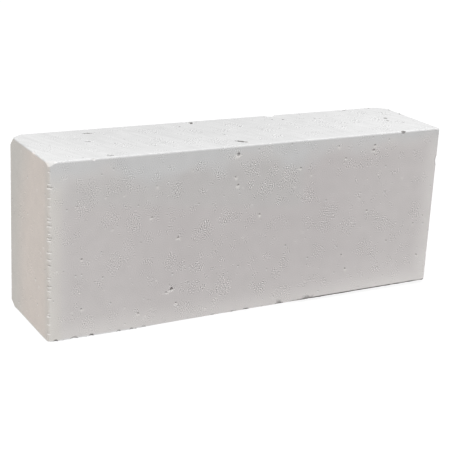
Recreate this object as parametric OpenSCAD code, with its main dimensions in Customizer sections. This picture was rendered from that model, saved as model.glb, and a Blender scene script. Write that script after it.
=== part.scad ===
// Solid aerated concrete block, sawn on all six faces, with the worn edges of a handled block.
// The origin is the middle of the lower bed: X runs along the wall, Y through it and Z up.

/* [Block] */
// Length along the wall
block_length = 625; // [500:5:650]
// Thickness through the wall
block_thickness = 150; // [100:5:300]
// Height from bed to bed
block_height = 250; // [200:5:300]

/* [Worn arrises] */
// Flat worn along the four long edges of the beds
bed_arris = 1.2; // [0.6:0.1:3]
// Flat worn along the four short edges at the ends
end_arris = 1.2; // [0.6:0.1:3]
// Flat worn along three of the upright edges
upright_arris = 1; // [0.6:0.1:3]
// Flat worn along the upright edge that is handled most, left of the front
handled_arris = 3.2; // [1:0.1:5]

/* [Nicked arris] */
// Depth of the deepest nick in the handled arris, below its flat
nick_depth = 2.2; // [1:0.1:4]
// How far a nick slopes up from its deepest point, for each unit of depth
nick_slope_share = 2.2; // [0.5:0.1:3]
// How far a nick drops below its deepest point, for each unit of depth
nick_ledge_share = 0.4; // [0.2:0.1:1]

/* [Broken corners] */
// Leg of the largest broken corner, along an edge
corner_break = 18; // [8:1:30]

/* [Undercut front arris] */
// Length broken from under the front, from the right end
undercut_length = 550; // [100:10:580]
// Depth of the undercut into the lower bed, at the right end
undercut_depth = 13; // [4:0.5:20]
// Height of the undercut at the right end
undercut_height = 6; // [2:0.5:8]

/* [Chipped arrises] */
// Length of the longest chip, along the edge
chip_length = 46; // [20:1:80]
// Depth of the deepest chip, from the sharp edge
chip_depth = 4.4; // [3:0.2:8]

/* [Blowholes] */
// Radius of the largest blowhole at its mouth
blowhole_radius = 3.4; // [1.5:0.1:6]
// Depth of a blowhole for each unit of its mouth radius
blowhole_depth_share = 0.85; // [0.4:0.05:1.4]

/* [Torn gouges] */
// Length of the longest gouge
gouge_length = 20; // [8:1:30]
// Width of the longest gouge
gouge_width = 7; // [3:0.5:10]
// Depth of the longest gouge
gouge_depth = 2.4; // [1:0.2:5]

/* [Hidden] */
concrete_colour = "#c9c5c0";
round_facets = 48;
// How far a cut runs past what it cuts, for each unit of the cut's own size
overrun_share = 2;

half_size = [block_length, block_thickness, block_height] / 2;
block_middle = [0, 0, half_size.z];

// Sides are named by their signs along X, Y and Z. A corner has three, an edge two and a face one.
left = [-1, 0, 0];
right = [1, 0, 0];
front = [0, -1, 0];
back = [0, 1, 0];
bottom = [0, 0, -1];
top = [0, 0, 1];

// Broken corners: the corner, and its legs along X, Y and Z as shares of corner_break
corner_break_shares = [
    [left + front + top, [0.68, 0.9, 0.38]],
    [left + back + top, [0.85, 0.75, 0.82]],
    [left + back + bottom, [0.6, 1, 0.42]],
    [left + front + bottom, [0.4, 0.25, 0.15]],
    [right + front + bottom, [0.6, 0.5, 0.43]],
    [right + back + top, [1, 1, 0.14]],
    [right + back + bottom, [0.35, 0.4, 0.3]],
];

// Chips: the edge, the place along it as a share of the half size, and the shares of length and depth
chip_shares = [
    [front + bottom, [-0.965, 0, 0], 0.14, 0.55],
    [front + bottom, [-0.88, 0, 0], 0.24, 0.55],
    [front + bottom, [-0.8, 0, 0], 0.13, 0.65],
    [front + bottom, [-0.67, 0, 0], 0.11, 0.45],
    [front + bottom, [-0.61, 0, 0], 0.11, 0.45],
    [front + bottom, [-0.55, 0, 0], 0.14, 0.5],
    [front + bottom, [-0.03, 0, 0], 0.28, 0.8],
    [front + bottom, [0.15, 0, 0], 0.4, 0.9],
    [front + bottom, [0.31, 0, 0], 0.7, 1],
    [front + top, [-0.8, 0, 0], 0.14, 0.55],
    [front + top, [0.785, 0, 0], 0.14, 0.6],
    [back + top, [0.28, 0, 0], 0.42, 1],
    [back + top, [0.74, 0, 0], 0.4, 0.6],
    [back + top, [0.9, 0, 0], 0.14, 0.6],
    [back + top, [-0.15, 0, 0], 0.16, 0.7],
    [back + bottom, [-0.4, 0, 0], 0.5, 0.85],
    [back + bottom, [0.55, 0, 0], 0.35, 0.75],
    [right + top, [0, 0.29, 0], 0.16, 0.6],
    [right + top, [0, 0.68, 0], 0.16, 0.6],
    [left + top, [0, -0.25, 0], 0.3, 0.55],
    [right + front, [0, 0, 0.6], 0.35, 0.45],
    [right + back, [0, 0, -0.35], 0.35, 0.75],
];

// Blowholes: the face, the place on it as shares of the half size, and the share of the radius
blowhole_shares = [
    [front, [-0.42, 0, -0.585], 0.7],
    [front, [-0.445, 0, -0.615], 0.4],
    [front, [-0.11, 0, 0.905], 0.7],
    [front, [0.62, 0, 0.805], 0.6],
    [front, [0.625, 0, 0.865], 0.5],
    [front, [-0.105, 0, 0.55], 0.5],
    [front, [-0.12, 0, 0.645], 0.4],
    [front, [-0.85, 0, -0.095], 0.45],
    [front, [-0.395, 0, 0.015], 0.45],
    [front, [0.015, 0, 0.175], 0.45],
    [front, [0.935, 0, -0.605], 0.45],
    [front, [-0.58, 0, -0.815], 0.45],
    [front, [-0.395, 0, -0.76], 0.4],
    [front, [-0.525, 0, 0.285], 0.4],
    [front, [-0.85, 0, -0.665], 0.4],
    [front, [0.61, 0, 0.06], 0.4],
    [front, [0.51, 0, -0.65], 0.45],
    [front, [0.22, 0, 0.675], 0.4],
    [front, [0.465, 0, 0.74], 0.4],
    [top, [0.862, 0.075, 0], 0.55],
    [top, [0.345, 0.605, 0], 0.5],
    [top, [0.293, 0.67, 0], 0.45],
    [top, [0.51, 0.5, 0], 0.45],
    [top, [-0.205, 0.685, 0], 0.45],
    [top, [-0.615, -0.13, 0], 0.45],
    [back, [-0.3, 0, 0.35], 0.8],
    [back, [0.58, 0, -0.2], 0.6],
    [right, [0, 0.3, 0.25], 0.7],
    [left, [0, -0.35, -0.4], 0.4],
];

// Gouges in the upper bed: the place as shares of the half size, the heading in degrees and the share of size
gouge_shares = [
    [[-0.06, -0.71, 0], -42, 1],
    [[-0.665, 0.71, 0], -12, 0.75],
    [[-0.712, -0.86, 0], -32, 0.5],
    [[-0.715, 0.14, 0], -25, 0.5],
    [[0.845, -0.1, 0], 62, 0.5],
    [[-0.122, 0.87, 0], 84, 0.6],
];

// Nicks in the handled arris: the height as a share of the half height, and the share of nick_depth
nick_shares = [
    [-0.9, 0.5],
    [-0.79, 0.5],
    [-0.7, 0.6],
    [-0.67, 0.75],
    [-0.5, 0.8],
    [-0.41, 0.65],
    [-0.365, 1],
    [-0.29, 0.75],
    [-0.26, 0.75],
    [-0.13, 1],
    [-0.06, 0.85],
    [0.02, 0.75],
    [0.15, 0.8],
    [0.175, 1],
    [0.23, 0.6],
    [0.31, 0.9],
    [0.365, 0.7],
    [0.4, 0.75],
    [0.53, 0.5],
    [0.62, 0.5],
    [0.725, 1],
    [0.77, 0.55],
    [0.9, 0.7],
];

// A point on the block's sharp-edged outline: a side, and shares of the half size along the free axes
function outline_point(side, shares = [0, 0, 0]) =
    block_middle + [for (axis = [0:2]) (side[axis] == 0 ? shares[axis] : side[axis]) * half_size[axis]];

// Radius of the ball that leaves a hollow of this mouth radius and depth
function ball_radius(mouth, depth) = (mouth * mouth + depth * depth) / (2 * depth);

// A rectangle with its corners cut by flats, given anticlockwise from the low left corner
module worn_rectangle(size, flats) {
    half = size / 2;
    polygon([
        [-half.x, flats[0] - half.y],
        [flats[0] - half.x, -half.y],
        [half.x - flats[1], -half.y],
        [half.x, flats[1] - half.y],
        [half.x, half.y - flats[2]],
        [half.x - flats[2], half.y],
        [flats[3] - half.x, half.y],
        [-half.x, half.y - flats[3]],
    ]);
}

// The sawn block with a flat along each edge: one outline for each axis, where all three overlap
module worn_body() {
    translate(block_middle) intersection() {
        linear_extrude(block_height, center = true)
            worn_rectangle(
                [block_length, block_thickness],
                [handled_arris, upright_arris, upright_arris, upright_arris]
            );
        rotate([90, 0, 0]) linear_extrude(block_thickness, center = true)
            worn_rectangle([block_length, block_height], [end_arris, end_arris, end_arris, end_arris]);
        rotate([90, 0, 90]) linear_extrude(block_length, center = true)
            worn_rectangle([block_thickness, block_height], [bed_arris, bed_arris, bed_arris, bed_arris]);
    }
}

// All that lies outside the flat break of a corner
module corner_cut(corner, legs) {
    slope = [for (axis = [0:2]) corner[axis] / legs[axis]];
    steepness = norm(slope);
    reach = overrun_share * max(legs);
    translate(outline_point(corner) - slope / (steepness * steepness))
        rotate([0, acos(slope.z / steepness), atan2(slope.y, slope.x)])
            translate([-reach, -reach, 0]) cube([reach, reach, reach / 2] * 2);
}

// A ball that leaves a hollow in a face, or a bite out of an edge
module scoop(side, shares, mouth, depth) {
    radius = ball_radius(mouth, depth);
    translate(outline_point(side, shares) + (radius - depth) * side / norm(side))
        sphere(radius, $fn = round_facets);
}

// A long shallow tear in the upper bed: a spindle lying along its heading
module gouge(shares, heading, size) {
    length = gouge_length * size;
    width = gouge_width * size;
    depth = gouge_depth * size;
    // The cross section is an arc of this radius, and the spindle's side an arc of the bow radius
    section = ball_radius(width / 2, depth);
    bow = ball_radius(length / 2, depth);
    translate(outline_point(top, shares) + [0, 0, section - depth]) rotate([0, 0, heading]) rotate([0, 90, 0])
        rotate_extrude($fn = round_facets) intersection() {
            translate([section - bow, 0]) circle(bow, $fn = round_facets * overrun_share);
            translate([0, -length / 2]) square([section, length]);
        }
}

// A ladder of nicks across the handled arris, each sloping in to a ledge
module arris_nicks() {
    flat_depth = handled_arris / sqrt(2);
    for (nick = nick_shares) {
        // From the sharp edge to the deepest point
        depth = flat_depth + nick_depth * nick[1];
        width = 2 * overrun_share * depth;
        translate(outline_point(left + front, [0, 0, nick[0]])) rotate([0, 0, 45]) rotate([90, 0, 0])
            linear_extrude(width, center = true) polygon([
                [depth, 0],
                [0, depth * nick_slope_share],
                [-depth, 0],
                [0, -depth * nick_ledge_share],
            ]);
    }
}

module block() {
    color(concrete_colour) difference() {
        worn_body();
        for (break = corner_break_shares) corner_cut(break[0], corner_break * break[1]);
        corner_cut(right + front + bottom, [undercut_length, undercut_depth, undercut_height]);
        for (chip = chip_shares)
            scoop(chip[0], chip[1], chip_length * chip[2] / 2, chip_depth * chip[3]);
        for (hole = blowhole_shares) {
            mouth = blowhole_radius * hole[2];
            scoop(hole[0], hole[1], mouth, mouth * blowhole_depth_share);
        }
        for (tear = gouge_shares) gouge(tear[0], tear[1], tear[2]);
        arris_nicks();
    }
}

block();
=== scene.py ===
"""A worn, sawn block of aerated concrete, with its arrises, broken corners, chips, blowholes and pores."""

import math
from itertools import chain, product

import bpy
import numpy as np
from bpy.props import FloatProperty, FloatVectorProperty, IntProperty, PointerProperty
from mathutils import Matrix, Vector, noise
from mathutils.geometry import delaunay_2d_cdt


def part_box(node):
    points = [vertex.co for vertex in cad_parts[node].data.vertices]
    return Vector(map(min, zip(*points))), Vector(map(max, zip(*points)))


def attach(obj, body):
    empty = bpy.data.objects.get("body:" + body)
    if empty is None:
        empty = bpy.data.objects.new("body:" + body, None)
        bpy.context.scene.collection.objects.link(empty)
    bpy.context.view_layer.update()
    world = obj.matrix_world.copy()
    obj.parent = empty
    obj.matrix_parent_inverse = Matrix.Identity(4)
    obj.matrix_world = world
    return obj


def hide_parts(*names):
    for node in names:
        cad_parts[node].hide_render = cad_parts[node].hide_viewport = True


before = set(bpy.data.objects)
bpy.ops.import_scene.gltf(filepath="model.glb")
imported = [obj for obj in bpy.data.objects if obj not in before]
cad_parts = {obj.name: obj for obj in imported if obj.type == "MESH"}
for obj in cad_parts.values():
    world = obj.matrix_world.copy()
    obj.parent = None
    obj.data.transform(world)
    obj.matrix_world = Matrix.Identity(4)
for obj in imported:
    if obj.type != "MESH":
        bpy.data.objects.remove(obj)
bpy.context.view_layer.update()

bl_info = {
    "name": "Aerated concrete block",
    "version": (1, 0, 0),
    "blender": (4, 5, 0),
    "location": "3D View > Sidebar > Block",
    "description": "Builds a worn block of aerated concrete on its CAD frame, and a plain stage for it",
    "category": "Add Mesh",
}

MM = 0.001
LOW, HIGH = (np.array(corner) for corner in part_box("block"))
HALF = (HIGH - LOW) / 2
MIDDLE = (HIGH + LOW) / 2

# Sides are named by their signs along X, Y and Z. A corner adds three of them and an edge two.
LEFT, BACK, TOP = np.diag((-1, 1, 1))
RIGHT, FRONT, BOTTOM = -LEFT, -BACK, -TOP

# The twelve edges: the axis that each runs along, and the sides that it lies on along the next two axes.
EDGES = list(product(range(3), product((-1, 1), repeat=2)))

# Broken corners: the corner, and its legs along X, Y and Z as shares of the corner break.
CORNER_SHARES = [
    (LEFT + FRONT + TOP, (0.68, 0.9, 0.38)),
    (LEFT + BACK + TOP, (0.85, 0.75, 0.82)),
    (LEFT + BACK + BOTTOM, (0.6, 1, 0.42)),
    (LEFT + FRONT + BOTTOM, (0.4, 0.25, 0.15)),
    (RIGHT + FRONT + BOTTOM, (0.6, 0.5, 0.43)),
    (RIGHT + BACK + TOP, (1, 1, 0.14)),
    (RIGHT + BACK + BOTTOM, (0.35, 0.4, 0.3)),
]

# Chips of each edge: the place along it as a share of the half size, the shares of length and depth, and
# the painted shade: up to 1 it is how dark the chip is painted, and above 1 how far the shade spreads as
# well.
CHIP_SHARES = [
    (FRONT + BOTTOM, [
        (-0.965, 0.14, 0.55, 1), (-0.88, 0.24, 0.55, 0.7), (-0.8, 0.13, 0.65, 1),
        (-0.67, 0.11, 0.45, 0.8), (-0.61, 0.11, 0.45, 0.8), (-0.55, 0.14, 0.5, 0.6),
        (-0.03, 0.28, 0.8, 1.4), (0.15, 0.4, 0.9, 1.6), (0.31, 0.7, 1, 0.85),
    ]),
    (FRONT + TOP, [(-0.8, 0.14, 0.55, 0), (0.785, 0.14, 0.6, 0.85)]),
    (BACK + TOP, [
        (0.32, 0.37, 1.6, 0), (0.74, 0.4, 0.6, 2.5), (0.9, 0.14, 0.6, 2.5), (-0.15, 0.16, 0.7, 0.3),
    ]),
    (BACK + BOTTOM, [(-0.4, 0.5, 0.85, 0.5), (0.55, 0.35, 0.75, 0.5)]),
    (RIGHT + TOP, [(0.29, 0.16, 0.6, 2.5), (0.68, 0.16, 0.6, 2)]),
    (LEFT + TOP, [(-0.25, 0.3, 0.55, 0)]),
    (RIGHT + FRONT, [(0.6, 0.35, 0.45, 0.5)]),
    (RIGHT + BACK, [(-0.35, 0.35, 0.75, 0)]),
]

# Blowholes of each face: the place as shares of the half size, the share of the radius, and the darkness of
# the shade painted in it.
BLOWHOLE_SHARES = [
    (FRONT, [
        ((-0.42, 0, -0.585), 0.7, 1), ((-0.445, 0, -0.615), 0.4, 0.8),
        ((-0.11, 0, 0.905), 0.7, 0.6), ((0.62, 0, 0.805), 0.6, 0.65),
        ((0.625, 0, 0.865), 0.5, 0.55), ((-0.105, 0, 0.55), 0.5, 0.55),
        ((-0.12, 0, 0.645), 0.4, 0.5), ((-0.85, 0, -0.095), 0.45, 0.5),
        ((-0.395, 0, 0.015), 0.45, 0.6), ((0.015, 0, 0.175), 0.45, 0.5),
        ((0.935, 0, -0.605), 0.45, 0.6), ((-0.58, 0, -0.815), 0.45, 0.45),
        ((-0.395, 0, -0.76), 0.4, 0.62), ((-0.525, 0, 0.285), 0.4, 0.58),
        ((-0.85, 0, -0.665), 0.4, 0.8), ((0.61, 0, 0.06), 0.4, 0.5), ((0.51, 0, -0.65), 0.45, 0.45),
        ((0.22, 0, 0.675), 0.4, 0.65), ((0.465, 0, 0.74), 0.4, 0.57),
    ]),
    (TOP, [
        ((0.862, 0.075, 0), 0.75, 1), ((0.345, 0.605, 0), 0.5, 0.6), ((0.293, 0.67, 0), 0.45, 0.52),
        ((0.51, 0.5, 0), 0.45, 0.7), ((-0.205, 0.685, 0), 0.45, 0.48),
        ((-0.615, -0.13, 0), 0.45, 0.42),
    ]),
    (BACK, [((-0.3, 0, 0.35), 0.8, 1), ((0.58, 0, -0.2), 0.6, 0.8)]),
    (RIGHT, [((0, 0.3, 0.25), 0.7, 0.9)]),
    (LEFT, [((0, -0.35, -0.4), 0.4, 0.4)]),
]

# Torn gouges in the upper bed: the place as shares of the half size, the heading in degrees, the share of
# size, and how dark the shade painted in it is.
GOUGE_SHARES = [
    ((-0.06, -0.71), -42, 1, 1),
    ((-0.665, 0.71), -12, 0.75, 0.7),
    ((-0.712, -0.86), -32, 0.5, 1),
    ((-0.715, 0.14), -25, 0.5, 0.7),
    ((0.845, -0.1), 62, 0.5, 0.5),
    ((-0.122, 0.87), 61, 0.6, 1),
]

# Nicks across the left front arris: the height as a share of the half height, the shares of depth and reach.
NICK_SHARES = [
    (-0.9, 0.5, 0.7), (-0.79, 0.5, 0.8), (-0.7, 0.6, 0.9), (-0.67, 0.75, 0.6), (-0.5, 0.8, 0.8),
    (-0.41, 0.65, 0.8), (-0.365, 1, 0.9), (-0.29, 0.75, 0.8), (-0.26, 0.75, 0.8), (-0.13, 1, 0.7),
    (-0.06, 0.85, 0.9), (0.02, 0.75, 1), (0.15, 0.8, 0.9), (0.175, 1, 1), (0.23, 0.6, 0.7),
    (0.31, 0.9, 1), (0.365, 0.7, 1), (0.4, 0.75, 0.8), (0.53, 0.5, 0.8), (0.62, 0.5, 0.7),
    (0.725, 1, 1), (0.77, 0.55, 0.7), (0.9, 0.7, 0.6),
]

# Rows of points beside every edge: how far in, and how far apart along the row.
EDGE_ROWS = (
    (0.8 * MM, 1.2 * MM), (1.7 * MM, 1.3 * MM), (2.7 * MM, 1.4 * MM),
    (3.9 * MM, 1.8 * MM), (5.6 * MM, 2.6 * MM),
)
EDGE_SPACING = 1.1 * MM

# The nicked arris has closer points: its axis and sides, their spacing up it, and how far in each row lies.
NICKED_EDGE = (2, (-1, -1))
NICK_SPACING = 0.6 * MM
NICK_ROWS = (0.7 * MM, 1.5 * MM, 2.4 * MM, 3.4 * MM, 4.5 * MM, 5.7 * MM, 6.9 * MM)

# How far points are moved at random, as shares of their spacing: along the edges, in the rows beside them,
# in the open, and beside the nicked arris.
EDGE_JITTER, ROW_JITTER, FILL_JITTER, NICK_JITTER = 0.25, 0.15, 0.3, 0.2

# Rings of points down a pit, as shares of its mouth, for pits wider than WIDE_PIT and for smaller ones. Then
# the spacing of a ring's points, and the fewest and the most of them.
WIDE_PIT = 1.3 * MM
WIDE_RINGS = (1.16, 1, 0.82, 0.5)
SMALL_RINGS = (1, 0.6)
RING_SPACING = 0.9 * MM
RING_COUNTS = (6, 18)

# Open pores: the smallest radius as a share of the largest, the power that makes large ones rare, the depths
# for each unit of radius, and the darkness of the shade painted in them.
PORE_SMALLEST = 0.42
PORE_RARITY = 3
PORE_DEPTHS = (0.55, 1.0)
PORE_DARKNESS = (0.1, 0.4)

# Pores that the finish draws as painted shade, with painted highlights on their lower lips: the size of their
# cells, the largest radius, and the share of cells that hold one. The clusters of grain are drawn as wide,
# ragged pores.
SPECKS = (2.8 * MM, 1.2 * MM, 0.5)
BED_PORES = (8 * MM, 3.2 * MM, 0.5)
OPEN_PORES = (13 * MM, 1.7 * MM, 0.4)
WIDE_CLUSTERS = (34 * MM, 21 * MM, 1)
SMALL_CLUSTERS = (17 * MM, 11 * MM, 0.6)


def length(name, description, default):
    """A property that holds a length in metres."""
    return FloatProperty(
        name=name, description=description, default=default, min=0, precision=4,
        subtype="DISTANCE", unit="LENGTH",
    )


def colour(name, description, default):
    """A property that holds a linear colour."""
    return FloatVectorProperty(
        name=name, description=description, default=default, size=3, min=0, max=1, subtype="COLOR"
    )


def angle(name, description, degrees):
    """A property that holds an angle, given in degrees."""
    return FloatProperty(
        name=name, description=description, default=math.radians(degrees), subtype="ANGLE", unit="ROTATION"
    )


def strength(name, description, default):
    """A property that holds how strongly something shows."""
    return FloatProperty(name=name, description=description, default=default, min=0)


class BlockShape(bpy.types.PropertyGroup):
    """Sizes of the block's wear and pores"""

    bed_arris: length("Bed arris", "Radius worn on the long edges of the beds", 0.7 * MM)
    end_arris: length("End arris", "Radius worn on the short edges at the ends", 1.3 * MM)
    upright_arris: length("Upright arris", "Radius worn on three of the upright edges", 1.0 * MM)
    handled_arris: length("Handled arris", "Radius worn on the nicked edge, left of the front", 4.8 * MM)
    corner_break: length("Corner break", "Leg of the largest broken corner", 18 * MM)
    undercut_length: length("Undercut length", "Length broken from under the front, at its right", 500 * MM)
    undercut_height: length("Undercut height", "Height of the undercut at the right end", 5.4 * MM)
    undercut_depth: length("Undercut depth", "How far in the undercut runs at the right end", 12 * MM)
    chip_length: length("Chip length", "Length that the chips are shares of, along the edge", 46 * MM)
    chip_depth: length("Chip depth", "Depth that the chips are shares of, from the sharp edge", 4.4 * MM)
    crumb_spacing: length("Crumb spacing", "Average spacing of the crumbs lost along the edges", 9 * MM)
    crumb_size: length("Crumb size", "Half length of the largest crumb on most edges", 2.2 * MM)
    nick_depth: length("Nick depth", "Depth of the deepest nick, below the worn arris", 2.2 * MM)
    nick_reach: length("Nick reach", "How far the longest nick runs on to each face", 5.8 * MM)
    blowhole_radius: length("Blowhole radius", "Mouth radius that the blowholes are shares of", 3.4 * MM)
    blowhole_depth_share: FloatProperty(
        name="Blowhole depth", description="Depth for each unit of mouth radius", default=0.85, min=0.2, max=1
    )
    gouge_length: length("Gouge length", "Length of the longest gouge", 20 * MM)
    gouge_width: length("Gouge width", "Width of the longest gouge", 7 * MM)
    gouge_depth: length("Gouge depth", "Depth of the longest gouge", 2.4 * MM)
    pore_radius: length("Pore radius", "Radius of the largest open pore", 1.5 * MM)
    pore_area: FloatProperty(
        name="Area for each pore", description="Face area that holds one open pore", default=1700 * MM * MM,
        precision=6, unit="AREA",
    )
    fill_spacing: length("Point spacing", "Spacing of the mesh's points on the open faces", 5.2 * MM)
    seed: IntProperty(name="Seed", description="Seed of the pores and crumbs", default=41)


class BlockFinish(bpy.types.PropertyGroup):
    """Colours of the concrete, and how strongly its marks show"""

    # The skin is darker than the beds; part of that is painted shade, for the weaker light on the upright
    # faces.
    skin: colour("Skin", "The sawn face, in the middle", (0.6035, 0.572, 0.567))
    upper: colour("Upper skin", "The greener part of the face, high up and left", (0.5965, 0.577, 0.5695))
    # Towards the arrises and the ends the faces turn paler; towards the floor the same colour is painted
    # bounce light from the floor.
    pale_margin_and_bounce: colour("Dry margin", "The drier band along the arrises", (0.735, 0.708, 0.692))
    beige: colour("Beige margin", "The warmer dry band beside the nicked arris", (0.7415, 0.716, 0.679))
    # The cooler band under the upper bed is painted sky light.
    cool: colour("Cool margin", "The greyer band under the upper bed", (0.64, 0.638, 0.637))
    # The beds are paler than the skin; part of that is painted light, for the stronger light on the top.
    bed: colour("Bed", "The sawn beds, dusted with lime", (0.72, 0.72, 0.72))
    warm: colour("Warm end", "The tanned middle of the left end", (0.698, 0.636, 0.588))
    # A greyer strip at the back of the left end.
    grey_strip: colour("Damp end", "The greyer strip at the back of the left end", (0.62, 0.597, 0.563))
    broken: colour("Broken", "Fresh concrete in a break or chip", (0.89, 0.865, 0.84))
    pore: colour("Pore", "The shaded inside of a pore", (0.11, 0.1, 0.095))
    # The colour the beds grow paler towards, with a painted highlight along their front edge; also the colour
    # of the painted highlights on the lower lips of pores.
    dust_and_highlight: colour("Dust", "Lime dust and white flecks", (0.94, 0.94, 0.94))
    grain: strength("Grain", "Contrast of the dots in the grain", 1.15)
    bed_grain: strength("Bed grain", "Contrast of the dots on the beds", 0.75)
    mottling: strength("Mottling", "Contrast of the soft blotches", 0.11)
    saw_drag: strength("Saw drag", "Contrast of the saw's drag across the beds", 0.2)


class BlockStage(bpy.types.PropertyGroup):
    """Camera, floor and light"""

    camera_place: FloatVectorProperty(
        name="Camera place", description="Where the camera stands", default=(-0.83128, -1.47683, 0.66558),
        size=3, subtype="TRANSLATION", unit="LENGTH",
    )
    camera_azimuth: angle("Camera azimuth", "Heading of the view, from straight on the front", -29.114)
    camera_elevation: angle("Camera elevation", "How far the view looks down", 18.238)
    camera_roll: angle("Camera roll", "Turn of the picture", 2.9)
    camera_lens: FloatProperty(
        name="Camera lens", description="Focal length on a sensor 36 mm wide", default=96.284, unit="CAMERA"
    )
    floor_size: length("Floor size", "Side of the square floor", 24)
    floor_gap: length("Floor gap", "How far the floor lies below the block", 0.1 * MM)
    floor: colour("Floor", "Pale floor", (0.15, 0.15, 0.15))
    floor_glow: strength("Floor glow", "Light that comes up through the floor", 0.9)
    sun_strength: strength("Lamp strength", "Strength of the broad overhead lamp", 2.6)
    sun_spread: angle("Lamp spread", "Width of the overhead lamp, which softens its shadows", 60)
    sun_tilt: angle("Lamp tilt", "Lean of the lamp towards the front and left", 8)
    sky_strength: strength("Room light", "Even light from all round", 0.27)


def rough(points, size, octaves=3):
    """Smooth random heights, about -1 to 1, with features of this size."""
    fading, fineness = 1.0, 2.0
    return np.array([noise.fractal(Vector(place), fading, fineness, octaves) for place in points / size])


def jitter(points, share, spacing, rng):
    """Points moved at random, by up to this share of their spacing."""
    return points + rng.uniform(-share, share, points.shape) * spacing


def ball_radius(mouth, depth):
    """Radius of the ball that leaves a dent of this mouth radius and depth."""
    return (mouth * mouth + depth * depth) / (2 * depth)


def span(axis):
    """The two axes that span the faces across an axis, in right-handed order."""
    return [(axis + 1) % 3, (axis + 2) % 3]


def edge_points(rng):
    """Places along each of the twelve edges, unevenly spaced."""
    edges = {}
    for edge in EDGES:
        half = HALF[edge[0]]
        spacing = NICK_SPACING if edge == NICKED_EDGE else EDGE_SPACING
        count = round(2 * half / spacing)
        places = np.linspace(-half, half, count + 1)
        places[1:-1] = jitter(places[1:-1], EDGE_JITTER, spacing, rng)
        edges[edge] = places
    return edges


def outline(axis, sign, edges):
    """A face's boundary points, shared with the faces beside it."""
    u, v = span(axis)
    points = []
    for side in (-1, 1):
        along_u = edges[u, (side, sign)]
        along_v = edges[v, (sign, side)][1:-1]
        points.append(np.column_stack([along_u, np.full(len(along_u), side * HALF[v])]))
        points.append(np.column_stack([np.full(len(along_v), side * HALF[u]), along_v]))
    return np.vstack(points)


def edge_rows(size, rng):
    """Close rows of points just inside a face's boundary, to carry its worn edges."""
    points = []
    for inset, spacing in EDGE_ROWS:
        inner = size - inset
        slack = 0.2 * spacing
        for along, across in ((0, 1), (1, 0)):
            count = round(2 * inner[along] / spacing)
            for side in (-1, 1):
                row = np.empty((count, 2))
                row[:, along] = np.linspace(-inner[along], inner[along], count, endpoint=False) * side
                row[:, across] = side * inner[across]
                row = jitter(row, ROW_JITTER, spacing, rng)
                points.append(np.clip(row, -inner - slack, inner + slack))
    return np.vstack(points)


def even_fill(size, spacing, rng):
    """Points over the open middle of a face, in staggered rows, each a little out of place."""
    clearance = 0.7 * spacing
    inner = size - EDGE_ROWS[-1][0] - clearance
    rise = spacing * math.sqrt(3) / 2
    points = []
    for index, height in enumerate(np.arange(-inner[1], inner[1], rise)):
        row = np.arange(-inner[0] + (index % 2) * spacing / 2, inner[0], spacing)
        points.append(np.column_stack([row, np.full(len(row), height)]))
    return jitter(np.vstack(points), FILL_JITTER, spacing, rng)


def blowholes_of_face(axis, sign, shape):
    """The blowholes of a face: place on the face, mouth radius, depth and the darkness of the shade painted
    in each.
    """
    axes = span(axis)
    holes = []
    of_face = (rows for side, rows in BLOWHOLE_SHARES if side[axis] == sign)
    for shares, share, dark in chain.from_iterable(of_face):
        mouth = shape.blowhole_radius * share
        place = np.array(shares)[axes] * HALF[axes]
        holes.append((place, mouth, mouth * shape.blowhole_depth_share, dark))
    return holes


def pits_of_face(axis, sign, shape, rng):
    """The blowholes of a face and its random open pores, which keep clear of each other and of the gouges."""
    room = 1.5
    size = HALF[span(axis)]
    pits = blowholes_of_face(axis, sign, shape)
    tears = [np.array(tear[0]) * HALF[:2] for tear in GOUGE_SHARES] if axis == 2 and sign > 0 else []
    wanted = round(4 * size[0] * size[1] / shape.pore_area)
    margin = EDGE_ROWS[-1][0] + 2 * shape.pore_radius
    for _ in range(wanted):
        place = rng.uniform(-1, 1, 2) * (size - margin)
        mouth = shape.pore_radius * (PORE_SMALLEST + (1 - PORE_SMALLEST) * rng.random() ** PORE_RARITY)
        depth = mouth * rng.uniform(*PORE_DEPTHS)
        clear = all(np.hypot(*(place - pit[0])) > room * (mouth + pit[1]) for pit in pits)
        if clear and all(np.hypot(*(place - tear)) > shape.gouge_length for tear in tears):
            pits.append((place, mouth, depth, rng.uniform(*PORE_DARKNESS)))
    return pits


def pit_points(pits, axis, rng):
    """Rings of points down each pit, a little out of round, with each point's depth, painted shade and
    painted highlight.

    On an upright face the shade is painted darkest under a pit's upper lip, and a highlight is painted on its
    lower lip, as if lit from above.
    """
    oval, lobed = 0.14, 0.07
    shade_slope, lip_slope, lip_start = 1.2, 2.4, 0.6
    points, marks = [], []
    upward = (np.array(span(axis)) == 2).astype(float)
    middle_shade = 1 - 0.3 * upward.max()
    for place, mouth, depth, dark in pits:
        ball = ball_radius(mouth, depth)
        rings = WIDE_RINGS if mouth > WIDE_PIT else SMALL_RINGS
        turn, lean = rng.uniform(0, 2 * math.pi, 2)
        points.append(place[None])
        marks.append([(depth, dark * middle_shade, 0)])
        for ring in rings:
            count = int(np.clip(round(2 * math.pi * ring * mouth / RING_SPACING), *RING_COUNTS))
            around = np.arange(count) / count * 2 * math.pi + turn
            reach = mouth * ring * (1 + oval * np.sin(2 * around + lean) + lobed * np.sin(3 * around - turn))
            heading = np.column_stack([np.cos(around), np.sin(around)])
            rise = ring * heading @ upward
            # Painted highlight on the lower lip, where light from above would fall.
            lip = np.clip(-dark * (lip_slope * rise + lip_start), 0, 1)
            points.append(place + reach[:, None] * heading)
            if ring == rings[0]:
                marks.append(np.column_stack([np.zeros((count, 2)), lip]))
            else:
                sunk = math.sqrt(ball**2 - (ring * mouth) ** 2) - (ball - depth)
                # Painted shade down the pit, darkest under the upper lip.
                shade = dark * np.clip(middle_shade + shade_slope * rise, 0, 1)
                marks.append(np.column_stack([np.full(count, sunk), shade, lip]))
    return np.vstack(points), np.vstack(marks)


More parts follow.
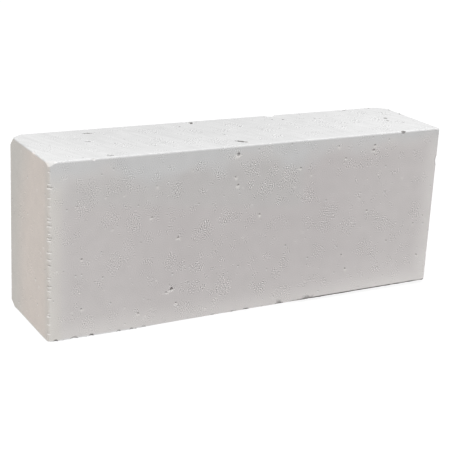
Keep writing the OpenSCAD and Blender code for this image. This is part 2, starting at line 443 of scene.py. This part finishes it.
def gouge_points(shape, rng):
    """Close points over the torn gouges of the upper bed, with each point's depth, painted shade and painted
    highlight on the near rim.
    """
    step = 1.0 * MM
    past_rim = 1.15
    tear, tear_size, floor_tear = 0.45, 3 * MM, 0.2
    shade_slope, lip_start, lip_width = 7, 0.1, 0.4
    points, marks, clearings = [], [], []
    for shares, heading, share, dark in GOUGE_SHARES:
        place = np.array(shares) * HALF[:2]
        reach = np.array([shape.gouge_length, shape.gouge_width]) * share / 2
        grid = np.meshgrid(*(np.arange(-r * past_rim, r * past_rim, step) for r in reach))
        grid = jitter(np.stack(grid, -1).reshape(-1, 2), FILL_JITTER, step, rng)
        ragged = 1 + tear * rough(np.column_stack([grid, np.full(len(grid), place[0])]), tear_size)
        bowl = 1 - ((grid / reach) ** 2).sum(1) * ragged
        turn = np.array(Matrix.Rotation(math.radians(heading), 2))
        spread = grid @ turn.T
        depth = shape.gouge_depth * share * np.sqrt(np.clip(bowl, 0, 1))
        # Painted shade in the gouge, and a painted highlight on its near rim.
        shade = dark * np.clip(shade_slope * bowl, 0, 1)
        lip = np.clip(1 - np.abs(bowl + lip_start) / lip_width, 0, 1) * (spread[:, 1] < 0)
        points.append(place + spread)
        marks.append(np.column_stack([depth * (1 - floor_tear + floor_tear * ragged), shade, lip]))
        clearings.append((place, turn, reach * past_rim + step))
    return np.vstack(points), np.vstack(marks), clearings


def nick_points(plain, axis, rng):
    """Swaps the points beside the nicked arris, on the two faces that meet there, for closer rows."""
    height, across = (1, 0) if axis == 0 else (0, 1)
    side = HALF[span(axis)][across]
    tall = HALF[2] - NICK_ROWS[-1] - NICK_SPACING
    clearance = 1.2 * NICK_SPACING
    beside = (plain[:, across] + side < NICK_ROWS[-1] + clearance) & (np.abs(plain[:, height]) < tall)
    levels = np.arange(-tall, tall, NICK_SPACING)
    rows = [plain[~beside]]
    for inset in NICK_ROWS:
        row = np.empty((len(levels), 2))
        row[:, height] = levels
        row[:, across] = inset - side
        rows.append(jitter(row, NICK_JITTER, NICK_SPACING, rng))
    return np.vstack(rows)


def face_points(axis, sign, edges, shape, rng):
    """All the points of one face, flat, with each point's depth in a pit or gouge, painted shade and
    highlight.
    """
    past_mouth, clearance = 1.35, 0.3 * MM
    size = HALF[span(axis)]
    boundary = outline(axis, sign, edges)
    plain = np.vstack([edge_rows(size, rng), even_fill(size, shape.fill_spacing, rng)])
    if sign < 0 and axis < 2:
        plain = nick_points(plain, axis, rng)
    pits = pits_of_face(axis, sign, shape, rng)
    keep = np.ones(len(plain), bool)
    for place, mouth, _, _ in pits:
        keep &= np.hypot(*(plain - place).T) > past_mouth * mouth + clearance
    holes, marks = pit_points(pits, axis, rng)
    if axis == 2 and sign > 0:
        tears, tear_marks, clearings = gouge_points(shape, rng)
        for place, turn, reach in clearings:
            keep &= (np.abs((plain - place) @ turn) > reach).any(1)
        holes, marks = np.vstack([holes, tears]), np.vstack([marks, tear_marks])
    flat = np.vstack([boundary, plain[keep]])
    return np.vstack([flat, holes]), np.vstack([np.zeros((len(flat), 3)), marks])


def join_triangles(points, sign):
    """Triangles that join a face's points, facing out of the block."""
    whole_hull, tolerance = 0, 1e-6
    found = delaunay_2d_cdt([Vector(place) for place in points / MM], [], [], whole_hull, tolerance)
    origin = np.array([sources[0] for sources in found[3]])
    triangles = origin[np.array(found[2])]
    a, b, c = (points[triangles[:, corner]] for corner in range(3))
    turned = (b[:, 0] - a[:, 0]) * (c[:, 1] - a[:, 1]) - (b[:, 1] - a[:, 1]) * (c[:, 0] - a[:, 0])
    flip = np.sign(turned) != sign
    triangles[flip] = triangles[flip][:, ::-1]
    return triangles


def sharp_block(shape, rng):
    """Points, their marks, outward normals and triangles of the block before its edges are worn."""
    same_place = 0.001 * MM
    edges = edge_points(rng)
    points, marks, normals, triangles = [], [], [], []
    start = 0
    for axis, sign in product(range(3), (-1, 1)):
        flat, face_marks = face_points(axis, sign, edges, shape, rng)
        place = np.empty((len(flat), 3))
        place[:, axis] = sign * HALF[axis]
        place[:, span(axis)] = flat
        normal = np.zeros((len(flat), 3))
        normal[:, axis] = sign
        triangles.append(join_triangles(flat, sign) + start)
        points.append(place)
        normals.append(normal)
        marks.append(face_marks)
        start += len(flat)
    points = np.vstack(points)
    places = np.round(points / same_place).astype(int)
    _, first, index = np.unique(places, axis=0, return_index=True, return_inverse=True)
    triangles = index.reshape(-1)[np.vstack(triangles)]
    return points[first], np.vstack(marks)[first], np.vstack(normals)[first], triangles


def arris_radius(points, shape):
    """Radius worn on the edges near each point, blended where edges meet and uneven along them."""
    blend = 6 * MM
    waves, wave_size = 0.35, 22 * MM
    bites, bite_size = 0.25, 5 * MM
    total = np.zeros(len(points))
    weight = np.zeros(len(points))
    for axis, sides in EDGES:
        u, v = span(axis)
        gap = np.hypot(points[:, u] - sides[0] * HALF[u], points[:, v] - sides[1] * HALF[v])
        near = np.exp(-gap / blend)
        upright = shape.handled_arris if (axis, sides) == NICKED_EDGE else shape.upright_arris
        total += near * (shape.bed_arris, shape.end_arris, upright)[axis]
        weight += near
    uneven = 1 + waves * rough(points, wave_size, 2) + bites * rough(points, bite_size, 2)
    return total / weight * uneven


def wear_arrises(points, shape):
    """Rounds the edges to an uneven radius, and roughens what is worn."""
    crumb, crumb_size = 0.3 * MM, 1.8 * MM
    radius = arris_radius(points, shape)[:, None]
    core = np.clip(points, radius - HALF, HALF - radius)
    away = points - core
    away /= np.maximum(np.linalg.norm(away, axis=1, keepdims=True), 1e-9)
    worn = core + away * radius
    loss = np.linalg.norm(worn - points, axis=1, keepdims=True)
    crumbly = np.clip(loss, 0, crumb) * (1 + rough(points, crumb_size, 2)[:, None]) / 2
    return worn - away * crumbly


def broken_bumps(points, coarse, coarse_size, fine):
    """The unevenness of a broken plane: coarse bumps of this height and size, and fine ones."""
    fine_size = 1.6 * MM
    return rough(points, coarse_size, 4) * coarse + rough(points, fine_size, 2) * fine


def break_corners(points, fresh_and_highlight, shape):
    """Cuts the broken corners back to rough planes, which are fresh."""
    near = 1.0 * MM
    coarse_share, coarse_size, fine = 0.1, 7 * MM, 0.25 * MM
    fresh_depth, freshest = 1.0 * MM, 0.45
    for corner, shares in CORNER_SHARES:
        slope = corner / (np.array(shares) * shape.corner_break)
        depth = 1 / np.linalg.norm(slope)
        normal = slope * depth
        over = (points - corner * HALF) @ normal + depth
        cut = over > -near
        bumps = broken_bumps(points[cut], coarse_share * depth, coarse_size, fine)
        drop = np.maximum(over[cut] + bumps, 0)
        points[cut] -= normal * drop[:, None]
        fresh_and_highlight[cut] = np.maximum(fresh_and_highlight[cut], np.clip(drop / fresh_depth, 0, freshest))


def undercut_front(points, shape):
    """Breaks a bowed undercut from below the front, deeper towards the right end."""
    near = 1.0 * MM
    coarse, coarse_size, fine = 0.35 * MM, 9 * MM, 0.2 * MM
    slope = np.array([0, 1 / shape.undercut_depth, 1 / shape.undercut_height])
    depth = 1 / np.linalg.norm(slope)
    along = np.clip(1 - (HALF[0] - points[:, 0]) / shape.undercut_length, 0, 1)
    over = (np.sqrt(along) - (points + HALF) @ slope) * depth
    cut = (over > -near) & (along > 0)
    bumps = broken_bumps(points[cut], coarse, coarse_size, fine)
    drop = np.maximum(over[cut] + bumps * np.sqrt(along[cut]), 0)
    points[cut] += slope * depth * drop[:, None]


def scoop(points, centre, radius, bumps, grain):
    """Pushes the points inside a ball out to its bumpy surface. Returns them and how far each went."""
    away = points - centre
    gap = np.linalg.norm(away, axis=1)
    inside = np.flatnonzero(gap < radius + bumps)
    if len(inside) == 0:
        return inside, np.zeros(0)
    reach = radius + bumps * rough(points[inside], grain, 2)
    push = np.maximum(reach - gap[inside], 0)
    points[inside] += away[inside] / gap[inside, None] * push[:, None]
    return inside, push


def placed_chips(shape):
    """The chips of the table: point on the edge, outward direction, half length, depth and painted shade of
    each.
    """
    chips = []
    for edge, rows in CHIP_SHARES:
        out = edge / np.linalg.norm(edge)
        for share, long, deep, chip_shade in rows:
            place = np.where(edge == 0, share, edge) * HALF
            chips.append((place, out, shape.chip_length * long / 2, shape.chip_depth * deep, chip_shade))
    return chips


def random_crumbs(shape, rng):
    """Small bites along every edge, given like the chips."""
    smallest, raggedness, most_shade = 0.35, 1.7, 0.8
    shallow, deep = 0.45, 0.75
    crumbs = []
    for axis, sides in EDGES:
        out = np.zeros(3)
        out[span(axis)] = sides
        ragged = raggedness if (out == LEFT + TOP).all() else 1
        underside = max(-out[2], 0)
        for _ in range(round(2 * HALF[axis] / shape.crumb_spacing)):
            place = out * HALF
            place[axis] = rng.uniform(-1, 1) * HALF[axis]
            mouth = shape.crumb_size * ragged * (smallest + (1 - smallest) * rng.random() ** 2)
            # Crumbs on the lower edges get painted shade, for the shadow where the block meets the floor.
            chip_shade = most_shade * rng.random() ** 3 * underside
            crumbs.append((place, out / math.sqrt(2), mouth, mouth * rng.uniform(shallow, deep), chip_shade))
    return crumbs


def chip_edges(points, fresh_and_highlight, hollow, shape, rng):
    """Bites the chips and crumbs out of the edges, and paints shade in and round some chips and crumbs."""
    bump_share, bump_size = 0.28, 2.6 * MM
    fresh_depth, freshest = 0.8 * MM, 0.35
    shade_spread = 1.1 * MM
    for place, out, mouth, depth, chip_shade in placed_chips(shape) + random_crumbs(shape, rng):
        ball = ball_radius(mouth, depth)
        centre = place + out * (ball - depth)
        reached, push = scoop(points, centre, ball, bump_share * depth, bump_size)
        fresh_and_highlight[reached] = np.maximum(fresh_and_highlight[reached], np.clip(push / fresh_depth, 0, freshest))
        # Painted shade in the chip and on the rim round it.
        if chip_shade > 0:
            outside = np.linalg.norm(points - centre, axis=1) - ball
            rim = np.clip(1 - outside / (shade_spread * max(chip_shade, 1)), 0, 1)
            np.maximum(hollow, min(chip_shade, 1) * rim, out=hollow)


def nick_arris(points, fresh_and_highlight, hollow, shape):
    """Cuts a ladder of small crosswise nicks into the left front arris, each sloping in to a ledge, with
    painted shade under its upper side and a painted highlight on the ledge.
    """
    ragged_size, height_wander, reach_wander = 2 * MM, 0.3 * MM, 0.3
    slope, drop, shade_height = 2.2, 0.4, 0.8
    ledge_steps, ledge_step = 3, 0.6 * MM
    fade, darkness = 1.5 * MM, 0.38
    gap = np.maximum(points[:, 0] + HALF[0], points[:, 1] + HALF[1])
    near = np.flatnonzero(gap < shape.nick_reach)
    ragged = rough(points[near], ragged_size, 2)
    sink, shade, light = np.zeros((3, len(near)))
    for share, deep, wide in NICK_SHARES:
        depth = shape.nick_depth * deep
        above = points[near, 2] - share * HALF[2] + height_wander * ragged
        groove = 1 - np.where(above > 0, above / (slope * depth), -above / (drop * depth))
        taper = np.clip((shape.nick_reach * wide - gap[near]) / fade + reach_wander * ragged, 0, 1)
        sink = np.maximum(sink, depth * np.clip(groove, 0, 1) * taper)
        # Painted shade under the upper side of each nick.
        dim = np.clip(1 - above / (shade_height * depth), 0, 1) * (above > 0)
        shade = np.maximum(shade, deep * taper * dim)
        # A painted highlight on the ledge below each nick.
        ledge = np.clip(ledge_steps + above / ledge_step, 0, 1) * (above <= 0)
        light = np.maximum(light, taper * ledge)
    points[near] += sink[:, None] * np.array([1, 1, 0]) / math.sqrt(2)
    fresh_and_highlight[near] = np.maximum(fresh_and_highlight[near], light)
    hollow[near] = np.maximum(hollow[near], darkness * shade)


def block_mesh(shape):
    """The whole worn block as one closed mesh, with the marks that its finish reads."""
    crease = math.radians(32)
    rng = np.random.default_rng(shape.seed)
    points, marks, normals, triangles = sharp_block(shape, rng)
    sunk, hollow, fresh_and_highlight = marks.T.copy()
    points = wear_arrises(points, shape)
    break_corners(points, fresh_and_highlight, shape)
    undercut_front(points, shape)
    chip_edges(points, fresh_and_highlight, hollow, shape, rng)
    points -= normals * sunk[:, None]
    nick_arris(points, fresh_and_highlight, hollow, shape)
    points += MIDDLE
    mesh = bpy.data.meshes.new("aerated_block")
    mesh.from_pydata(points.tolist(), [], triangles.tolist())
    mesh.validate()
    mesh.shade_smooth()
    mesh.set_sharp_from_angle(angle=crease)
    # The mesh's marks: painted shade, and the freshness of breaks together with painted highlights.
    for name, values in (("hollow", hollow), ("fresh_and_highlight", fresh_and_highlight)):
        mark = mesh.attributes.new(name, "FLOAT", "POINT")
        mark.data.foreach_set("value", values.astype(np.float32))
    return mesh


class Wire:
    """A node's output that takes part in Python expressions. Each operation adds a node that does it."""

    def __init__(self, finish, socket):
        self.finish = finish
        self.socket = socket

    def other(self, output):
        """Another output of the same node."""
        return Wire(self.finish, self.socket.node.outputs[output])

    def math(self, operation, *values):
        return self.finish.node("ShaderNodeMath", {"operation": operation}, dict(enumerate(values)))

    def __add__(self, value):
        return self.math("ADD", self, value)

    __radd__ = __add__

    def __sub__(self, value):
        return self.math("SUBTRACT", self, value)

    def __rsub__(self, value):
        return self.math("SUBTRACT", value, self)

    def __mul__(self, value):
        return self.math("MULTIPLY", self, value)

    __rmul__ = __mul__

    def __abs__(self):
        return self.math("ABSOLUTE", self)

    def __lt__(self, value):
        return self.math("LESS_THAN", self, value)

    def root(self):
        return self.math("SQRT", self)

    def least(self, value):
        return self.math("MINIMUM", self, value)

    def most(self, value):
        return self.math("MAXIMUM", self, value)

    def rise(self, low, high):
        """0 up to low, 1 from high on, and smooth between. With low above high it falls."""
        sockets = {"Value": self, "From Min": low, "From Max": high}
        return self.finish.node("ShaderNodeMapRange", {"interpolation_type": "SMOOTHSTEP"}, sockets)


class Finish:
    """A node tree that a finish is written into."""

    def __init__(self, tree):
        self.tree = tree
        tree.nodes.clear()

    def node(self, kind, settings=None, sockets=None, output=0):
        """Adds a node: its settings first, then the values or links of its sockets."""
        made = self.tree.nodes.new(kind)
        for name, value in (settings or {}).items():
            setattr(made, name, value)
        for name, value in (sockets or {}).items():
            if isinstance(value, Wire):
                self.tree.links.new(value.socket, made.inputs[name])
            else:
                made.inputs[name].default_value = value
        return Wire(self, made.outputs[output]) if made.outputs else None

    def mix(self, share, first, second, way="MIX"):
        """Mixes two colours."""
        first, second = (c if isinstance(c, Wire) else (*c, 1) for c in (first, second))
        factor, colour_a, colour_b, result = 0, 6, 7, 2
        settings = {"data_type": "RGBA", "blend_type": way}
        sockets = {factor: share, colour_a: first, colour_b: second}
        return self.node("ShaderNodeMix", settings, sockets, result)

    def mark(self, name):
        """A mark that the mesh carries at its points."""
        return self.node("ShaderNodeAttribute", {"attribute_name": name}, output="Fac")

    def clouds(self, place, size, detail=2):
        """Soft noise, about 0 to 1, with features of this size."""
        sockets = {"Vector": place, "Scale": 1 / size, "Detail": detail}
        return self.node("ShaderNodeTexNoise", None, sockets, "Fac")

    def moved(self, place, heading, reach, aside=0):
        """A place moved this far along a heading, and aside along X."""
        step = {0: heading, 1: (reach,) * 3, 2: place}
        along = self.node("ShaderNodeVectorMath", {"operation": "MULTIPLY_ADD"}, step)
        return self.node("ShaderNodeVectorMath", {"operation": "ADD"}, {0: along, 1: (aside, 0, 0)})

    def pores(self, place, cell, radius, held):
        """Round pores cut open by the face: 1 in the middle of a pore, 0 on the skin."""
        smallest, soft_rim = 0.3, 0.35
        sockets = {"Vector": place, "Scale": 1 / cell}
        cells = self.node("ShaderNodeTexVoronoi", {"feature": "F1"}, sockets, "Distance")
        draw = self.node("ShaderNodeSeparateColor", None, {"Color": cells.other("Color")}, "Red")
        reach = (draw * (1 - smallest) + smallest) * (radius / cell)
        return (reach - cells).rise(0, soft_rim * radius / cell) * (draw.other("Green") < held)


class BlockSurface(Finish):
    """A finish that knows where a point of the block lies, with the soft noise that its parts share."""

    def __init__(self, tree):
        super().__init__(tree)
        self.place = self.node("ShaderNodeTexCoord", output="Object")
        self.x = self.node("ShaderNodeSeparateXYZ", None, {0: self.place}, "X")
        self.y, self.z = self.x.other("Y"), self.x.other("Z")
        self.from_left, self.from_front = self.x + HALF[0], self.y + HALF[1]
        gap_y, gap_z = HALF[1] - abs(self.y), HALF[2] - abs(self.z - MIDDLE[2])
        self.end_gap = HALF[0] - abs(self.x)
        self.arris_gap = self.end_gap.least(gap_y).most(self.end_gap.most(gap_y).least(gap_z))
        bed_rim, left_rim = (3 * MM, 0.6 * MM), (3.5 * MM, 0.4 * MM)
        self.on_bed = gap_z.rise(*bed_rim)
        self.on_left = self.from_left.rise(*left_rim)
        broad_size, blotch_size = 90 * MM, 18 * MM
        self.broad = self.clouds(self.place, broad_size)
        self.blotch = self.clouds(self.place, blotch_size, 3)

        # A painted highlight is drawn on a pore's lower lip, as if the lip caught the light: it lies where a
        # pore lies just beyond, above on an upright face, further back on a bed.
        lip_reach, bed_stretch = 1.5 * MM, 2
        sockets = {"Y": self.on_bed * bed_stretch, "Z": 1 - self.on_bed}
        self.upward = self.node("ShaderNodeCombineXYZ", None, sockets)
        self.beyond = self.moved(self.place, self.upward, lip_reach)


def fine_grain(at):
    """Fine noise, and the light and dark dots in it: the noise less its mean at three places round about."""
    size, detail = 1.5 * MM, 1
    ring = ((1.6 * MM, 0), (-0.8 * MM, 1.4 * MM), (-0.8 * MM, -1.4 * MM))
    crisp, soft = 7.5, 0.6
    grain = at.clouds(at.place, size, detail)
    beside = [at.moved(at.place, at.upward, reach, aside) for reach, aside in ring]
    dots = grain - sum(at.clouds(place, size, detail) for place in beside) * (1 / len(ring))
    return grain, dots * (abs(dots) * crisp + soft)


def grain_clusters(at):
    """How much the grain shows: in ragged clusters, less on the left end, near arrises and to the left."""
    sway_size, sway = 16 * MM, 22 * MM
    small_share, between, left_end_loss = 0.85, 0.08, 0.65
    arris_band, at_arris, inside = (6 * MM, 32 * MM), 0.4, 1.05
    left_part, at_left = (-220 * MM, -80 * MM), 0.56
    drift = at.node("ShaderNodeTexNoise", None, {"Vector": at.place, "Scale": 1 / sway_size}, "Color")
    sockets = {0: drift, 1: (sway,) * 3, 2: at.place}
    swayed = at.node("ShaderNodeVectorMath", {"operation": "MULTIPLY_ADD"}, sockets)
    patches = at.pores(swayed, *WIDE_CLUSTERS).most(at.pores(swayed, *SMALL_CLUSTERS) * small_share)
    marked = (patches * (1 - between) + between) * (1 - at.on_left * left_end_loss)
    marked = marked * (at_arris + at.arris_gap.rise(*arris_band) * (inside - at_arris))
    return marked * (at_left + at.x.rise(*left_part) * (1 - at_left))


def undercut_painted_shadow(at, shape):
    """Painted shadow along the upper edge of the undercut, in clots, thickest a little right of the middle.
    """
    clot_size, contrast, gaps = 9 * MM, 3, 1.6
    thick_from, thickest = (50 * MM, 110 * MM), 1.9
    thin_from, thinner = (170 * MM, 230 * MM), 0.9
    edge_band, start_band = (-2.1 * MM, -1 * MM), (0.1, 0.3)
    along = (1 - (HALF[0] - at.x) * (1 / shape.undercut_length)).most(0)
    slope = shape.undercut_height / shape.undercut_depth
    over = along.root() * shape.undercut_height - at.z - at.from_front * slope
    thick = at.x.rise(*thick_from) * thickest - at.x.rise(*thin_from) * thinner
    clotted = at.clouds(at.place, clot_size, 3) * contrast - gaps + thick
    return over.rise(*edge_band) * clotted.most(0).least(1) * along.rise(*start_band)


def face_colour(at, look):
    """The colour of the front and back: the skin, paler towards the arrises and the ends, and paler towards
    the floor as painted bounce light from the floor, with a cooler band of painted sky light under the upper
    bed.
    """
    raggedness, cool_wander, tilt = 10 * MM, 110 * MM, 0.107
    arris_band, near_arris = (36 * MM, 0), 0.65
    end_band, near_end = (200 * MM, 50 * MM), 0.2
    floor_band, near_floor = (80 * MM, 0), 0.2
    upper_band, upper_side = (150 * MM, 166 * MM), (85 * MM, 65 * MM)
    cool_band, beige_band = (205 * MM, 242 * MM), (25 * MM, 14 * MM)
    ragged = (at.blotch - 0.5) * raggedness
    # Paler towards the arrises and the ends, and paler towards the floor as painted bounce light from the
    # floor.
    pale_margin_and_bounce = (at.arris_gap + ragged).rise(*arris_band) * near_arris + at.z.rise(*floor_band) * near_floor
    pale_margin_and_bounce = pale_margin_and_bounce + (at.end_gap + ragged).rise(*end_band) * near_end
    upper = (at.z + at.x * tilt).rise(*upper_band) * at.x.rise(*upper_side)
    # A cooler band under the upper bed: painted sky light.
    cool = (at.z + (at.broad - 0.5) * cool_wander).rise(*cool_band) * (1 - at.on_left)
    skin = at.mix(upper, look.skin, look.upper)
    margin = at.mix(at.from_left.rise(*beige_band), look.pale_margin_and_bounce, look.beige)
    return at.mix(cool, at.mix(pale_margin_and_bounce.least(1), skin, margin), look.cool)


def end_colour(at, look, base):
    """Lays the left end's colour over the base: greyer at the back and tanned towards the front."""
    spread, spread_height = 22 * MM, (150 * MM, 245 * MM)
    grey_band = (2 * MM, 75 * MM)
    front_band, at_front = (0, 20 * MM), 0.4
    tanned = (HALF[1] - at.y - at.z.rise(*spread_height) * spread).rise(*grey_band)
    tanned = tanned * (at_front + at.from_front.rise(*front_band) * (1 - at_front))
    base = at.mix(at.on_left, base, look.grey_strip)
    return at.mix(at.on_left * tanned, base, look.warm)


def bed_colour(at, look, base):
    """Lays the beds' colour over the base: paler to the right, to the front and at the left end, with a
    painted highlight along the front edge.
    """
    right_part, to_right = (20 * MM, 280 * MM), 0.25
    back_to_front, to_front = (HALF[1], -HALF[1]), 0.18
    left_part, to_left = (-150 * MM, -HALF[0]), 0.18
    front_edge, at_edge = (6 * MM, 1.5 * MM), 0.3
    edge_right_part, edge_to_right = (-60 * MM, 120 * MM), 0.1
    paler_and_edge_highlight = at.x.rise(*right_part) * to_right + at.y.rise(*back_to_front) * to_front
    # A painted highlight along the front edge of the upper bed.
    edge = at.x.rise(*edge_right_part) * edge_to_right + at_edge
    paler_and_edge_highlight = paler_and_edge_highlight + at.x.rise(*left_part) * to_left + at.from_front.rise(*front_edge) * edge
    base = at.mix(at.on_bed, base, look.bed)
    return at.mix(at.on_bed * paler_and_edge_highlight, base, look.dust_and_highlight)


def saw_drag(at):
    """Streaks that the saw left across the beds, about -0.5 to 0.5: noise drawn out along its path."""
    path_x, path_y = 0.351, -0.936
    streak_width, shortening = 6 * MM, 0.1
    sockets = {
        "X": at.y * path_x - at.x * path_y,
        "Y": (at.x * path_x + at.y * path_y) * shortening,
    }
    return at.clouds(at.node("ShaderNodeCombineXYZ", None, sockets), streak_width) - 0.5


def lightness(at, look, dots, marked):
    """How light the concrete is: mottling, saw drag, dots, and two paler places of the front."""
    usual, broad_contrast, between_clusters = 0.905, 0.06, 0.06
    left_part, upper_part, upper_left = (-200 * MM, -HALF[0]), (190 * MM, 225 * MM), 0.055
    right_part, lower_part, lower_right = (60 * MM, 190 * MM), (70 * MM, 10 * MM), 0.04
    tone = usual + saw_drag(at) * at.on_bed * look.saw_drag
    tone = tone + at.broad * broad_contrast + at.blotch * look.mottling
    contrast = look.grain - at.on_bed * (look.grain - look.bed_grain)
    tone = tone + dots * (marked * contrast + between_clusters)
    corner = at.x.rise(*left_part) * at.z.rise(*upper_part) * (1 - at.on_left.most(at.on_bed))
    foot = at.x.rise(*right_part) * at.z.rise(*lower_part)
    return tone + corner * upper_left + foot * lower_right


def concrete_finish(look, shape):
    """Sawn aerated concrete: grey skin, paler margins, a tanned end, open pores, fresh breaks, and painted
    shade and highlights in its pores, pits, gouges, nicks and chips.
    """
    material = bpy.data.materials.new("aerated_concrete")
    material.use_nodes = True
    at = BlockSurface(material.node_tree)
    grain, dots = fine_grain(at)
    marked = grain_clusters(at)
    kinds = (SPECKS, OPEN_PORES, BED_PORES)
    specks, open_pores, bed_pores = (at.pores(at.place, *kind) for kind in kinds)
    lips, open_pore_lips, bed_lips = (at.pores(at.beyond, *kind) for kind in kinds)

    fresh_light, speck_light, open_pore_lip_light, bed_lip_light = 0.85, 0.4, 0.5, 1.5
    speck_shade, pore_shade, bed_pore_shade, hollow_shade = 0.28, 0.3, 0.35, 0.92
    base = face_colour(at, look)
    base = end_colour(at, look, base)
    base = bed_colour(at, look, base)
    # Fresh breaks take the pale broken colour; so do the painted highlights on pit lips, gouge rims and nick
    # ledges.
    base = at.mix(at.mark("fresh_and_highlight") * fresh_light, base, look.broken)
    # Painted highlights on the lower lips of the specks, the open pores and the bed pores.
    painted_highlight = (lips * marked * speck_light).most(open_pore_lips * open_pore_lip_light)
    painted_highlight = painted_highlight.most(bed_lips * at.on_bed * (marked * bed_lip_light).least(1))
    base = at.mix(painted_highlight, base, look.dust_and_highlight)
    base = at.mix(1, base, lightness(at, look, dots, marked), "MULTIPLY")
    # Painted shade: the insides of pores, pits, gouges, nicks and some chips, and the painted shadow along
    # the undercut.
    shaded = (specks * marked * speck_shade).most(open_pores * pore_shade)
    shaded = shaded.most(bed_pores * at.on_bed * marked * bed_pore_shade)
    shaded = shaded.most(at.mark("hollow") * hollow_shade).most(undercut_painted_shadow(at, shape))
    base = at.mix(shaded, base, look.pore)

    grain_height, dot_height, speck_depth = 0.25, 0.27, 0.5
    height = grain * grain_height + dots * marked * dot_height - specks * marked * speck_depth - open_pores
    bump = at.node("ShaderNodeBump", None, {"Strength": 0.6, "Distance": 1 * MM, "Height": height})
    smoothest, grain_roughness = 0.88, 0.12
    sockets = {
        "Base Color": base,
        "Roughness": smoothest + grain * grain_roughness,
        "Specular IOR Level": 0.2,
        "Normal": bump,
    }
    shader = at.node("ShaderNodeBsdfPrincipled", None, sockets)
    at.node("ShaderNodeOutputMaterial", None, {"Surface": shader})
    return material


def floor_finish(look):
    """Plain pale floor, lit from below like a light table."""
    material = bpy.data.materials.new("pale_floor")
    material.use_nodes = True
    finish = Finish(material.node_tree)
    sockets = {
        "Base Color": (*look.floor, 1),
        "Roughness": 0.9,
        "Specular IOR Level": 0.1,
        "Emission Color": (1, 1, 1, 1),
        "Emission Strength": look.floor_glow,
    }
    shader = finish.node("ShaderNodeBsdfPrincipled", None, sockets)
    finish.node("ShaderNodeOutputMaterial", None, {"Surface": shader})
    return material


class MESH_OT_aerated_block(bpy.types.Operator):
    """Build the worn concrete block on the frame's solid"""

    bl_idname = "mesh.aerated_block"
    bl_label = "Aerated block"

    def execute(self, context):
        mesh = block_mesh(context.scene.block_shape)
        mesh.materials.append(concrete_finish(context.scene.block_finish, context.scene.block_shape))
        block = bpy.data.objects.new("aerated_block", mesh)
        context.scene.collection.objects.link(block)
        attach(block, "root")
        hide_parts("block")
        return {"FINISHED"}


class SCENE_OT_block_stage(bpy.types.Operator):
    """Set the camera, the pale floor and the soft light"""

    bl_idname = "scene.block_stage"
    bl_label = "Block stage"

    def execute(self, context):
        look = context.scene.block_stage
        self.add_camera(context, look)
        self.add_floor(context, look)
        self.add_lamp(context, look)
        self.add_room(context, look)
        context.scene.view_settings.view_transform = "Standard"
        return {"FINISHED"}

    def add_camera(self, context, look):
        tilt = math.pi / 2 - look.camera_elevation
        turns = ((look.camera_azimuth, "Z"), (tilt, "X"), (look.camera_roll, "Z"))
        heading, pitch, roll = (Matrix.Rotation(turn, 4, axis) for turn, axis in turns)
        lens = bpy.data.cameras.new("camera")
        lens.lens = look.camera_lens
        camera = bpy.data.objects.new("camera", lens)
        camera.matrix_world = Matrix.Translation(look.camera_place) @ heading @ pitch @ roll
        context.scene.collection.objects.link(camera)
        context.scene.camera = camera

    def add_floor(self, context, look):
        half = look.floor_size / 2
        corners = [(-half, -half, 0), (half, -half, 0), (half, half, 0), (-half, half, 0)]
        mesh = bpy.data.meshes.new("floor")
        mesh.from_pydata(corners, [], [(0, 1, 2, 3)])
        mesh.materials.append(floor_finish(look))
        floor = bpy.data.objects.new("floor", mesh)
        floor.location.z = LOW[2] - look.floor_gap
        context.scene.collection.objects.link(floor)

    def add_lamp(self, context, look):
        lamp = bpy.data.lights.new("overhead_lamp", "SUN")
        lamp.energy = look.sun_strength
        lamp.angle = look.sun_spread
        sun = bpy.data.objects.new("overhead_lamp", lamp)
        lean = math.sin(look.sun_tilt)
        towards = Vector((-lean, -lean, math.cos(look.sun_tilt)))
        sun.rotation_euler = Vector((0, 0, 1)).rotation_difference(towards).to_euler()
        context.scene.collection.objects.link(sun)

    def add_room(self, context, look):
        world = bpy.data.worlds.new("room")
        world.use_nodes = True
        context.scene.world = world
        finish = Finish(world.node_tree)
        seen = finish.node("ShaderNodeLightPath", output="Is Camera Ray")
        sockets = {"Color": (1, 1, 1, 1), "Strength": seen.most(look.sky_strength)}
        glow = finish.node("ShaderNodeBackground", None, sockets)
        finish.node("ShaderNodeOutputWorld", None, {"Surface": glow})


class VIEW3D_PT_aerated_block(bpy.types.Panel):
    """Lists the block's steps and settings"""

    bl_label = "Aerated block"
    bl_space_type = "VIEW_3D"
    bl_region_type = "UI"
    bl_category = "Block"

    def draw(self, context):
        for operator in (MESH_OT_aerated_block, SCENE_OT_block_stage):
            self.layout.operator(operator.bl_idname)
        for group in (getattr(context.scene, name) for name in GROUPS):
            for name in group.__annotations__:
                self.layout.prop(group, name)


GROUPS = {"block_shape": BlockShape, "block_finish": BlockFinish, "block_stage": BlockStage}
CLASSES = (*GROUPS.values(), MESH_OT_aerated_block, SCENE_OT_block_stage, VIEW3D_PT_aerated_block)


def register():
    for cls in CLASSES:
        bpy.utils.register_class(cls)
    for name, group in GROUPS.items():
        setattr(bpy.types.Scene, name, PointerProperty(type=group))


def unregister():
    for name in GROUPS:
        delattr(bpy.types.Scene, name)
    for cls in reversed(CLASSES):
        bpy.utils.unregister_class(cls)


def plain(box):
    """A box's corners as plain lists of numbers."""
    return [[float(number) for number in corner] for corner in box]


def main():
    register()
    bpy.ops.scene.block_stage()
    bpy.ops.mesh.aerated_block()


if __name__ == "__main__":
    main()
